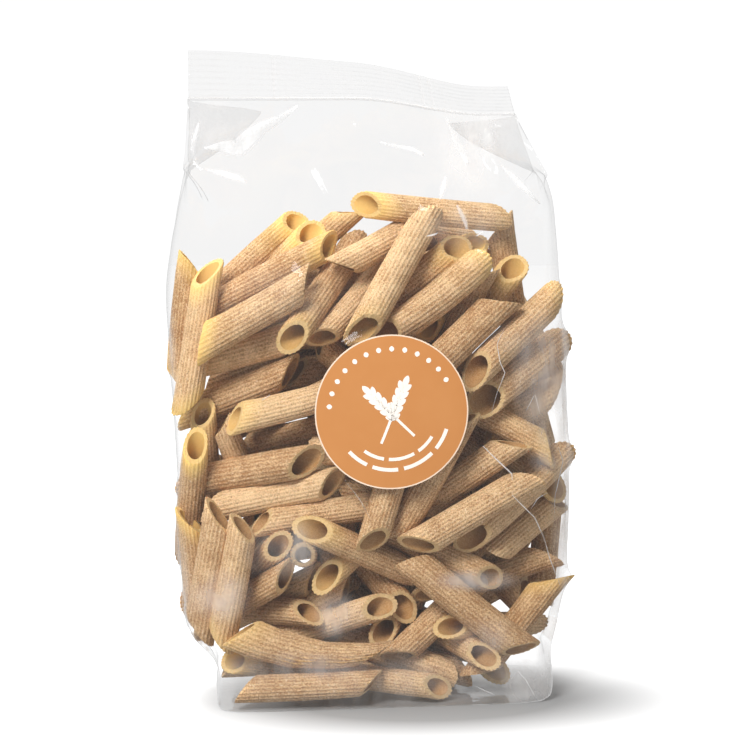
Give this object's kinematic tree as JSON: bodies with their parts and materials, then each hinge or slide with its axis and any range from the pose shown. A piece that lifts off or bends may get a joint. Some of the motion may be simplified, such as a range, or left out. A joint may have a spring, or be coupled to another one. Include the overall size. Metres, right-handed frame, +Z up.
{
  "type": "pasta packet",
  "caption": "Clear block-bottom film bag of wholemeal penne, standing upright, with a crimped top seal and a round paper label on the front.",
  "frame": {"origin": "middle of the flat base that the bag stands on", "axes": "+Z up from the base to the seal, -Y out of the labelled front, +X to the right seen from the front"},
  "size_m": [0.1258, 0.0605, 0.2008],
  "materials": {
    "pasta_in_film": "matt brown pasta seen through glossy clear film",
    "label_paper": "uncoated orange paper sticker",
    "clear_film": "glossy clear plastic film",
    "dry_pasta": "matt bronze-die dried pasta"
  },
  "bodies": {
    "root": {"bag": "pasta_in_film", "label": "label_paper"}
  },
  "joints": []
}
